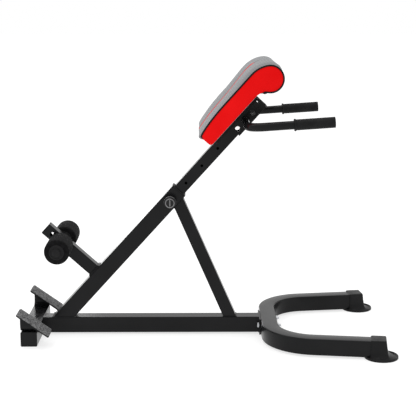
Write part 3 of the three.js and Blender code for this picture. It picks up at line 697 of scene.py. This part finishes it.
def simulate(block):
    """Where air pressure has moved the cloth after CLOTH_FRAMES, with no gravity and not yet at rest."""
    cloth = block.modifiers.new("cloth", "CLOTH")
    settings = cloth.settings
    settings.use_pressure = True
    settings.uniform_pressure_force = CLOTH_PRESSURE
    settings.quality = 5
    settings.mass = 0.3
    settings.tension_stiffness = 18
    settings.compression_stiffness = 18
    settings.bending_stiffness = 0.6
    settings.vertex_group_mass = "held"
    settings.pin_stiffness = 1.0
    settings.effector_weights.gravity = 0
    cloth.collision_settings.use_collision = False
    cloth.collision_settings.use_self_collision = False
    cloth.point_cache.frame_start = 1
    cloth.point_cache.frame_end = CLOTH_FRAMES
    scene = bpy.context.scene
    for number in range(1, CLOTH_FRAMES + 1):
        scene.frame_set(number)
    graph = bpy.context.evaluated_depsgraph_get()
    swelled = [vertex.co.copy() for vertex in block.evaluated_get(graph).data.vertices]
    block.modifiers.clear()
    scene.frame_set(1)
    return swelled


def smooth_mesh(piece, rounds):
    """Evens out a mesh without moving it far."""
    bm = bmesh.new()
    bm.from_mesh(piece.data)
    for _ in range(rounds):
        bmesh.ops.smooth_vert(bm, verts=bm.verts, factor=0.5, use_axis_x=True, use_axis_y=True,
                              use_axis_z=True)
    bm.to_mesh(piece.data)
    bm.free()


def subdivide(piece, levels=1):
    surface = piece.modifiers.new("surface", "SUBSURF")
    surface.levels = levels
    surface.render_levels = levels
    apply_modifiers(piece)


def pad_materials(piece):
    """Grey over the top and roll, red on the ends and in the slot, black below."""
    for material in (FABRIC, VINYL, BACKING):
        piece.data.materials.append(material)
    for polygon in piece.data.polygons:
        s, y, n = polygon.center
        facing = polygon.normal
        in_slot = abs(y) < (SLOT_HALF + 0.0042) * min(1.0, (SLOT_TO - s) / 0.03) and n > PAD_BASE
        end = s < PAD_FROM + 0.004 and facing.x < -0.5 and n < PAD_END_TOP - 0.008
        if n < PAD_BASE + 0.002 and s < ROLL_S - 0.03 and facing.z < -0.5:
            polygon.material_index = 2
        elif in_slot or end:
            polygon.material_index = 1


def to_slope(piece):
    """Takes a piece drawn in the post's frame to its place."""
    piece.data.transform(SLOPE)
    piece.data.update()


def pad_body():
    block = pad_block()
    swell(block)
    subdivide(block)
    pad_materials(block)
    for polygon in block.data.polygons:
        polygon.use_smooth = True
    to_slope(block)
    place(block, "post", None, "pad_fabric", ["hip_cushion_left", "hip_cushion_right", "hip_roll"])


def pad_side_panel(side, sign):
    """Stretched vinyl panel, a little domed, whose rim tucks under the piping."""
    inner = PAD_HALF_WIDTH - PANEL_THICK
    rings = []
    for inset, y in PANEL_STEPS:
        rings.append([Vector((s, sign * (inner + y), n)) for s, n in side_outline(inset)])
    bm = bmesh.new()
    loft(bm, rings)
    panel = finish_mesh("pad_side_panel_" + side, bm, math.radians(60))
    to_slope(panel)
    place(panel, "post", VINYL, "pad_vinyl", ["pad_side_" + side])


def pad_piping(side, sign):
    """Black piping round the outer seam and across the lower end of one cushion."""
    edge = PAD_HALF_WIDTH - 0.0004
    line = [Vector((ROLL_S + s, sign * edge, ROLL_N + n)) for s, n in PIPING_START]
    line += [Vector((s, sign * edge, n)) for s, n in seam_line(-0.0006)]
    corner = line.pop()
    turn = Vector((corner.x - 0.001, sign * (edge - 0.006), corner.z - 0.007))
    slot_end = Vector((turn.x, sign * (SLOT_HALF + 0.0015), turn.z))
    line += [corner.lerp(turn, 0.15), corner.lerp(turn, 0.5)]
    points = [SLOPE @ p for p in line + straight(turn, slot_end, 0.012) + [slot_end]]
    cord = cord_between("pad_piping_" + side, points, PIPING_RADIUS)
    place(cord, "post", PIPING, "pad_vinyl")
    knot = [SLOPE @ Vector((ROLL_S + s + 0.0006, sign * (edge - 0.0005), ROLL_N + n - 0.0014))
            for s, n in PIPING_START]
    place(cord_between("pad_piping_end_" + side, knot, 0.0042), "post", PIPING, "pad_vinyl")


def pad_pale_edge_and_highlight():
    """Thin pale grey-teal strip round the board's upper edge, under the cushions; its pale colour partly paints in
    the highlight along that edge.
    """
    low, high = box_in(SLOPE, "pad_board")
    bm = bmesh.new()
    grow = 0.0035
    rings = []
    for n in (high.z - 0.0016, high.z + 0.0002):
        rings.append([slope_point(s, y, n) for s, y in (
            (low.x - grow, low.y - grow), (high.x, low.y - grow),
            (high.x, high.y + grow), (low.x - grow, high.y + grow))])
    loft(bm, rings)
    place(finish_mesh("pad_pale_edge_and_highlight", bm), "post", PALE_EDGE_AND_HIGHLIGHT, "pad_fabric")


# ---- Rollers --------------------------------------------------------------------------------


def foam_roller(side, sign):
    """Closed-cell foam sleeve, slightly barrelled, with soft rims."""
    low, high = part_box("foam_roller_" + side)
    radius = (high.z - low.z) / 2
    length = high.y - low.y
    bore = 0.0128
    soft = 0.007
    profile = [(bore, 0)]
    profile += [(radius - soft + soft * math.sin(a) - 0.0008, soft - soft * math.cos(a))
                for a in (math.pi / 2 * k / 7 for k in range(8))]
    for k in range(1, 12):
        share = k / 12
        along = soft + (length - 2 * soft) * share
        profile.append((radius - 0.0008 + 0.0008 * math.sin(math.pi * share), along))
    profile += [(radius - soft + soft * math.cos(a) - 0.0008, length - soft + soft * math.sin(a))
                for a in (math.pi / 2 * k / 7 for k in range(8))]
    profile.append((bore, length))
    start = Vector(((low.x + high.x) / 2, low.y if sign > 0 else high.y, (low.z + high.z) / 2))
    bm = bmesh.new()
    turned(bm, start, ACROSS * sign, profile, 96)
    for vertex in bm.verts:
        vertex.co += vertex.co.normalized() * 0.00025 * noise.noise(vertex.co * 180)
    sleeve = finish_mesh("roller_sleeve_" + side, bm)
    place(sleeve, "roller_" + side, FOAM, "roller_foam", ["foam_roller_" + side])


def roller_hub(end, side, outwards):
    """Flanged plug with a recessed ring, in one end of a roller."""
    name = f"roller_hub_{end}_{side}"
    low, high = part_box(name)
    radius = (high.z - low.z) / 2
    inner = 0.0081
    face = high.y if outwards > 0 else low.y
    profile = [
        (inner, 0), (0.0125, 0), (0.0132, -0.0007), (0.018, -0.0007), (0.0187, 0),
        (radius - 0.001, 0), (radius - 0.0003, -0.0004), (radius, -0.001), (radius, -0.0022),
        (0.0125, -0.0022), (0.0125, -0.024), (inner, -0.024),
    ]
    origin = Vector(((low.x + high.x) / 2, face, (low.z + high.z) / 2))
    bm = bmesh.new()
    turned(bm, origin, ACROSS * outwards, profile, 72)
    place(finish_mesh("hub_" + end + "_" + side, bm), "roller_" + side, PLASTIC, "black_plastic", [name])


def axle_cap(side, sign):
    low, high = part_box("axle_cap_" + side)
    radius = (high.z - low.z) / 2
    depth = high.y - low.y
    profile = [(0.0083, 0), (radius - 0.0003, 0), (radius, 0.0005), (radius, depth * 0.5)]
    profile += [(radius * math.cos(a), depth * (0.5 + 0.5 * math.sin(a)))
                for a in (math.pi / 2 * k / 8 for k in range(1, 8))]
    profile += [(0.0004, depth), (0.0004, depth - 0.0015), (0.0083, depth - 0.003)]
    origin = Vector(((low.x + high.x) / 2, low.y if sign > 0 else high.y, (low.z + high.z) / 2))
    bm = bmesh.new()
    turned(bm, origin, ACROSS * sign, profile, 48)
    cap = finish_mesh("axle_dome_" + side, bm)
    place(cap, "frame", PLASTIC, "black_plastic", ["axle_cap_" + side])


# ---- Foot plates ----------------------------------------------------------------------------

PLATE_SLOPE = math.radians(35.5)
DOWN_PLATE = Vector((math.cos(PLATE_SLOPE), 0, -math.sin(PLATE_SLOPE)))
OFF_PLATE = DOWN_PLATE.cross(ACROSS)


def tread(side):
    """Rubber tread with raised bars in a checker-plate pattern."""
    node = "tread_" + side
    plate = frame_matrix(DOWN_PLATE, ACROSS, OFF_PLATE, centre(node))
    low, high = box_in(plate, node)
    bm = bmesh.new()
    corner = 0.006
    half_x, half_y = high.x, high.y
    rings = []
    for inset, z in ((0, low.z), (0, high.z - 0.0008), (0.0003, high.z - 0.0003), (0.0009, high.z)):
        ring = []
        for quarter in range(4):
            cx = (half_x - corner) * (1 if quarter in (0, 3) else -1)
            cy = (half_y - corner) * (1 if quarter in (0, 1) else -1)
            for k in range(6):
                angle = math.pi / 2 * (quarter + k / 5)
                reach = corner - inset
                ring.append(Vector((cx + reach * math.cos(angle), cy + reach * math.sin(angle), z)))
        rings.append(ring)
    loft(bm, rings)
    pitch = 0.0088
    columns, rows = int(2 * half_x / pitch), int(2 * half_y / pitch)
    for i in range(columns):
        for j in range(rows):
            x = (i - (columns - 1) / 2) * pitch
            y = (j - (rows - 1) / 2) * pitch
            tread_bar(bm, x, y, high.z, math.pi / 4 if (i + j) % 2 else -math.pi / 4)
    piece = finish_mesh("tread_pad_" + side, bm, math.radians(30))
    piece.data.transform(plate)
    place(piece, "frame", TREAD, "tread_rubber", [node])


def tread_bar(bm, x, y, z, angle):
    """One raised bar with sloping flanks and pointed ends."""
    along = Vector((math.cos(angle), math.sin(angle), 0))
    over = Vector((-math.sin(angle), math.cos(angle), 0))
    middle = Vector((x, y, z))
    rings = []
    for long_half, wide_half, height in ((0.0054, 0.0021, -0.0006), (0.005, 0.0017, 0.001),
                                         (0.0038, 0.0008, 0.0018)):
        ring = [along * long_half, along * long_half * 0.45 + over * wide_half,
                along * -long_half * 0.45 + over * wide_half, along * -long_half,
                along * -long_half * 0.45 - over * wide_half,
                along * long_half * 0.45 - over * wide_half]
        rings.append([middle + p + Vector((0, 0, height)) for p in ring])
    loft(bm, rings)


# ---- Front U, handlebar, grips, knob and feet ------------------------------------------------

TUBE = 0.05
TUBE_CORNER = 0.0042
U_BEND = 0.141
U_SPLAY = math.radians(8)


def front_u():
    """Square tube bent into a U, lying in the two foot caps."""
    low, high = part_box("front_u_tube")
    foot = centre("foot_cap_left")
    apex_x = low.x + TUBE / 2
    z = (low.z + high.z) / 2
    tip = Vector((foot.x + 0.003 * math.cos(U_SPLAY), foot.y + 0.003 * math.sin(U_SPLAY), z))
    corner_y = tip.y - (tip.x - apex_x) * math.tan(U_SPLAY)
    corners = [tip, Vector((apex_x, corner_y, z)), Vector((apex_x, -corner_y, z)),
               Vector((tip.x, -tip.y, z))]
    bm = bmesh.new()
    sweep(bm, bent_path(corners, U_BEND, 30, 0.02), rounded_square(TUBE, TUBE_CORNER))
    place(finish_mesh("front_u", bm), "frame", POWDER, "powder_coat", ["front_u_tube"])


BAR_RADIUS = 0.0125
HANDLE_RISE = math.radians(3.9)
HANDLE_BEND = 0.045
HANDLE_WAY = Vector((math.cos(HANDLE_RISE), 0, math.sin(HANDLE_RISE)))
GRIP_RADIUS = 0.0158
GRIP_LENGTH = 0.114
BAR_LOW, BAR_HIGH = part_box("handlebar")
HANDLE_REACH = (BAR_HIGH.x - BAR_LOW.x - BAR_RADIUS) / HANDLE_WAY.x


def handle_end(sign):
    return Vector((BAR_LOW.x + BAR_RADIUS, sign * (BAR_HIGH.y - BAR_RADIUS), BAR_LOW.z + BAR_RADIUS))


def handlebar():
    roots = handle_end(1), handle_end(-1)
    corners = [roots[0] + HANDLE_WAY * HANDLE_REACH, *roots, roots[1] + HANDLE_WAY * HANDLE_REACH]
    bm = bmesh.new()
    sweep(bm, bent_path(corners, HANDLE_BEND, 18, 0.02), circle(BAR_RADIUS, 32))
    place(finish_mesh("handle_tube", bm), "post", GLOSS, "powder_coat", ["handlebar"])


def handle_grip(side, sign):
    """Moulded rubber grip with a collar, shallow rings and a rounded end."""
    length, radius = GRIP_LENGTH, GRIP_RADIUS
    profile = [(0.0128, -length), (radius + 0.0014, -length), (radius + 0.002, -length + 0.001),
               (radius + 0.002, -length + 0.0042), (radius + 0.0012, -length + 0.0052),
               (radius - 0.0002, -length + 0.0062)]
    rings = 26
    for k in range(rings):
        start = -length + 0.009 + k * 0.0042
        profile += [(radius - 0.0003, start), (radius, start + 0.0008), (radius, start + 0.003),
                    (radius - 0.0003, start + 0.0036)]
    profile += [(radius - 0.004 + 0.004 * math.cos(a), 0.004 * math.sin(a))
                for a in (math.pi / 2 * k / 6 for k in range(7))]
    profile += [(0.0004, 0.004), (0.0004, 0.0005), (0.0128, 0.0005)]
    bm = bmesh.new()
    turned(bm, handle_end(sign) + HANDLE_WAY * HANDLE_REACH, HANDLE_WAY, profile, 56)
    grip = finish_mesh("grip_" + side, bm, math.radians(50))
    place(grip, "post", GRIP, "grip_rubber", ["handle_grip_" + side])


KNOB_RADIUS = 0.0147


def pin_knob():
    """Pull knob on a wider skirt, with a raised rim and a grip bar across its dished face; the rim and bar are
    lighter grey, partly as a painted highlight, and a light bead over the skirt's top is a painted highlight.
    """
    low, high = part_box("pin_knob")
    skirt = (high.z - low.z) / 2
    depth = high.y - low.y
    radius = KNOB_RADIUS
    origin = Vector(((low.x + high.x) / 2, high.y, (low.z + high.z) / 2))
    profile = [
        (0.0043, 0.0085), (0.0102, 0.0085), (0.0102, 0.0004), (0.0106, 0), (skirt - 0.001, 0),
        (skirt, 0.001), (skirt, 0.0036), (skirt - 0.0006, 0.0045), (skirt - 0.0016, 0.0048),
        (radius + 0.0008, 0.0056), (radius, 0.0066), (radius, depth - 0.0016),
        (radius - 0.0008, depth - 0.0008), (radius - 0.0034, depth - 0.0036),
        (0.0004, depth - 0.0036), (0.0004, 0.013), (0.0043, 0.013),
    ]
    bm = bmesh.new()
    turned(bm, origin, -ACROSS, profile, 72)
    place(finish_mesh("pull_knob", bm), "pin", KNOB, "black_plastic", ["pin_knob"])
    # Rim ring and grip bar in lighter grey plastic, which also paints in their highlight.
    ring = [
        (radius - 0.0002, depth - 0.0014), (radius - 0.0003, depth - 0.0005), (radius - 0.0009, depth),
        (radius - 0.0024, depth), (radius - 0.003, depth - 0.0006), (radius - 0.0032, depth - 0.0034),
    ]
    bm = bmesh.new()
    turned(bm, origin, -ACROSS, ring, 72)
    face = origin.y - depth
    rings = []
    for grow, y in ((0.0004, face + 0.0042), (0.0002, face + 0.0014), (-0.0005, face + 0.0003)):
        rings.append([Vector((origin.x + a, y, origin.z + b))
                      for a, b in stadium(0.0018 + grow, radius - 0.0046 + grow)])
    loft(bm, rings)
    # Painted highlight: a thin light bead laid only along the top arc of the skirt's rim.
    highlight_bead = [origin + Vector((math.cos(a), 0, math.sin(a))) * (skirt - 0.0009) - ACROSS * 0.0042
            for a in (math.pi * (0.25 + 0.5 * k / 20) for k in range(21))]
    sweep(bm, highlight_bead, circle(0.0009, 8))
    place(finish_mesh("knob_face_and_highlight", bm), "pin", KNOB_GREY_AND_HIGHLIGHT, "black_plastic")


def stadium(half_wide, half_long, steps=8):
    """Outline of a bar with round ends, long in its second direction."""
    points = []
    for end in (1, -1):
        hub = end * (half_long - half_wide)
        for k in range(steps + 1):
            angle = math.pi * k / steps
            points.append((end * half_wide * math.cos(angle), hub + end * half_wide * math.sin(angle)))
    return points


FOOT_RADIUS = 0.0505
FOOT_THICK = 0.005
CAP_REAR = -0.0317
CAP_HALF = 0.0285


def cap_ring(share, z, front, corner):
    """Outline that goes from the cap's rounded rectangle (0) to a circle in the disc (1)."""
    count = 64
    points = []
    for k in range(count):
        angle = math.tau * (k + 0.5) / count
        x, y = math.cos(angle), math.sin(angle)
        reach_x = front if x > 0 else -CAP_REAR
        grow = min(reach_x / max(abs(x), 1e-6), CAP_HALF / max(abs(y), 1e-6))
        square = Vector((x * grow, y * grow, 0))
        limit_x, limit_y = reach_x - corner, CAP_HALF - corner
        over = Vector((abs(square.x) - limit_x, abs(square.y) - limit_y, 0))
        if over.x > 0 and over.y > 0:
            over = over.normalized() * corner
            square = Vector((math.copysign(limit_x + over.x, x), math.copysign(limit_y + over.y, y), 0))
        round_point = Vector((x, y, 0)) * 0.0435
        point = square.lerp(round_point, share)
        points.append(Vector((point.x, point.y, z)))
    return points


def foot_cap(side, sign):
    """Moulded cap that flares out into a disc with a raised rim."""
    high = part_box("foot_cap_" + side)[1]
    top = high.z
    disc = centre("foot_cap_" + side)
    rings = [
        cap_ring(1.0, FOOT_THICK - 0.0012, 0.02, 0.004),
        cap_ring(1.0, FOOT_THICK, 0.02, 0.004),
        cap_ring(0.8, FOOT_THICK + 0.0012, 0.02, 0.004),
        cap_ring(0.55, FOOT_THICK + 0.0034, 0.02, 0.004),
        cap_ring(0.3, FOOT_THICK + 0.0065, 0.02, 0.004),
        cap_ring(0.12, FOOT_THICK + 0.01, 0.02, 0.004),
        cap_ring(0.0, FOOT_THICK + 0.015, 0.0195, 0.004),
        cap_ring(0.0, top - 0.006, 0.0148, 0.004),
        cap_ring(0.0, top - 0.0022, 0.0142, 0.004),
    ]
    for inset, drop in ((0.0006, 0.0008), (0.0016, 0.0002), (0.003, 0)):
        rings.append([Vector((p.x * (1 - inset / 0.02), p.y * (1 - inset / CAP_HALF), top - drop))
                      for p in rings[8]])
    bm = bmesh.new()
    loft(bm, rings)
    profile = [
        (0.0004, 0), (FOOT_RADIUS - 0.0012, 0), (FOOT_RADIUS, 0.0012), (FOOT_RADIUS, FOOT_THICK),
        (FOOT_RADIUS - 0.0005, FOOT_THICK + 0.0024), (FOOT_RADIUS - 0.0016, FOOT_THICK + 0.0032),
        (FOOT_RADIUS - 0.0028, FOOT_THICK + 0.0026), (FOOT_RADIUS - 0.0042, FOOT_THICK + 0.0004),
        (FOOT_RADIUS - 0.006, FOOT_THICK), (0.0004, FOOT_THICK),
    ]
    turned(bm, Vector(), Vector((0, 0, 1)), profile, 96)
    cap = finish_mesh("end_cap_" + side, bm)
    turn = Matrix.Rotation(sign * U_SPLAY, 4, "Z")
    cap.data.transform(Matrix.Translation((high.x - FOOT_RADIUS, disc.y, 0)) @ turn)
    place(cap, "frame", PLASTIC, "black_plastic", ["foot_cap_" + side])


# ---- Welds ----------------------------------------------------------------------------------


def weld_bead(name, body, corners, radius=0.0022):
    """Rippled weld laid along a closed run of corners, slightly uneven from one pool to the next."""
    random.seed(name)
    loop = []
    for start, end in zip(corners, corners[1:] + corners[:1]):
        loop += straight(start, end, 0.0016)
    middle = sum(corners, Vector()) / len(corners)
    normal = (corners[1] - corners[0]).cross(corners[2] - corners[1]).normalized()
    rings = []
    for i, point in enumerate(loop):
        tangent = (loop[(i + 1) % len(loop)] - loop[i - 1]).normalized()
        side = tangent.cross(normal).normalized()
        if side.dot(point - middle) < 0:
            side = -side
        pool = 0.86 + 0.2 * abs(math.sin(i * 1.05)) + random.uniform(-0.05, 0.05)
        rings.append([point + (side * math.cos(a) + normal * math.sin(a)) * radius * pool
                      for a in (math.tau * k / 8 for k in range(8))])
    bm = bmesh.new()
    loft(bm, rings, looped=True)
    place(finish_mesh(name, bm), body, POWDER, "powder_coat")


def cut_section(node, axis, level, tolerance=0.0006):
    """The corners where a straight CAD tube meets a level plane, from its own vertices."""
    points = []
    for vertex in frame["nodes"][node].data.vertices:
        if abs(vertex.co[axis] - level) < tolerance:
            points.append(vertex.co)
    return points


def welds():
    """Beads where the tubes of the frame stand on each other."""
    base_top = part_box("base_tube")[1].z
    lift = Vector((0, 0, 0.0006))
    for name, node in (("weld_post_foot", "outer_post"), ("weld_brace_foot", "brace_tube")):
        points = cut_section(node, 2, base_top + 0.0003)
        x0, x1 = min(p.x for p in points), max(p.x for p in points)
        y0, y1 = min(p.y for p in points), max(p.y for p in points)
        ring = [(x0, y0), (x1, y0), (x1, y1), (x0, y1)]
        weld_bead(name, "frame", [Vector((x, y, base_top)) + lift for x, y in ring])
    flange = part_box("front_flange")[0].x
    low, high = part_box("base_tube")
    inset = 0.001
    ring = [(low.y + inset, low.z + inset), (high.y - inset, low.z + inset),
            (high.y - inset, high.z - inset), (low.y + inset, high.z - inset)]
    weld_bead("weld_flange", "frame", [Vector((flange - 0.0004, y, z)) for y, z in ring])
    low, high = box_in(SLOPE, "ankle_arm")
    ring = [(low.x, low.y), (high.x, low.y), (high.x, high.y), (low.x, high.y)]
    weld_bead("weld_ankle_arm", "frame", [slope_point(s, y, low.z) for s, y in ring], 0.0018)
    low, high = box_in(SLOPE, "ankle_arm_pad")
    ring = [(low.x, low.y), (high.x, low.y), (high.x, high.y), (low.x, high.y)]
    weld_bead("weld_ankle_pad", "frame", [slope_point(s, y, low.z + 0.0004) for s, y in ring], 0.0016)
    brace_weld()


def brace_weld():
    """Bead where the brace runs up against the underside of the outer post."""
    inverse = SLOPE.inverted()
    points = [inverse @ vertex.co for vertex in frame["nodes"]["brace_tube"].data.vertices]
    top = max(p.z for p in points)
    near = [p for p in points if p.z > top - 0.0006]
    s0, s1 = min(p.x for p in near), max(p.x for p in near)
    y0, y1 = min(p.y for p in near), max(p.y for p in near)
    ring = [(s0, y0), (s1, y0), (s1, y1), (s0, y1)]
    weld_bead("weld_brace_head", "frame", [slope_point(s, y, top) for s, y in ring])


# ---- Studio ---------------------------------------------------------------------------------


def backdrop():
    """Plain pale floor, wide enough to fill every view."""
    bm = bmesh.new()
    reach = 30
    for x, y in ((-reach, -reach), (reach, -reach), (reach, reach), (-reach, reach)):
        bm.verts.new((x, y, -0.0004))
    bm.faces.new(bm.verts)
    floor = finish_mesh("floor", bm)
    look = Look("pale_floor", Specular_IOR_Level=0.0, Emission_Color=(1, 1, 1, 1),
                Emission_Strength=0.7)
    look.colour(look.spread(look.noise(2), 0, 1), (0.4, 0.4, 0.4), (0.42, 0.42, 0.42))
    look.roughness(look.spread(look.noise(5), 0.9, 1.0))
    floor.data.materials.append(look.material)


def area_light(name, location, target, size, power):
    data = bpy.data.lights.new(name, "AREA")
    data.shape = "RECTANGLE"
    data.size, data.size_y = size
    data.energy = power
    lamp = bpy.data.objects.new(name, data)
    lamp.location = location
    lamp.rotation_euler = (Vector(target) - Vector(location)).to_track_quat("-Z", "Y").to_euler()
    bpy.context.scene.collection.objects.link(lamp)
    return lamp


def lights():
    world = bpy.data.worlds.new("studio")
    world.use_nodes = True
    world.node_tree.nodes["Background"].inputs["Color"].default_value = (1, 1, 1, 1)
    world.node_tree.nodes["Background"].inputs["Strength"].default_value = 1.0
    bpy.context.scene.world = world
    area_light("overhead", (-0.6, 0.3, 3.0), (0, 0, 0.3), (2.5, 2.5), 30)
    area_light("rear_left", (-1.2, 3.0, 0.42), (-0.3, 0, 0.42), (1.1, 0.8), 7)


def camera():
    data = bpy.data.cameras.new("camera")
    data.sensor_width = 36
    data.lens = 93.46
    data.clip_start = 0.1
    data.clip_end = 100
    body = bpy.data.objects.new("camera", data)
    body.location = (-0.01475, -3.2988, 1.0355)
    pitch = math.atan2(208, 1080)
    yaw = math.atan2(8, 1080)
    body.rotation_euler = (math.pi / 2 - pitch, 0, -yaw)
    bpy.context.scene.collection.objects.link(body)
    bpy.context.scene.camera = body


# ---- Scene ----------------------------------------------------------------------------------

dress_cad_nodes()
pad_body()
pad_pale_edge_and_highlight()
for side, sign in (("left", 1), ("right", -1)):
    pad_side_panel(side, sign)
    pad_piping(side, sign)
    foam_roller(side, sign)
    roller_hub("outer", side, sign)
    roller_hub("inner", side, -sign)
    axle_cap(side, sign)
    tread(side)
    handle_grip(side, sign)
    foot_cap(side, sign)
front_u()
handlebar()
pin_knob()
welds()
backdrop()
lights()
camera()
bpy.context.scene.view_settings.view_transform = "Standard"
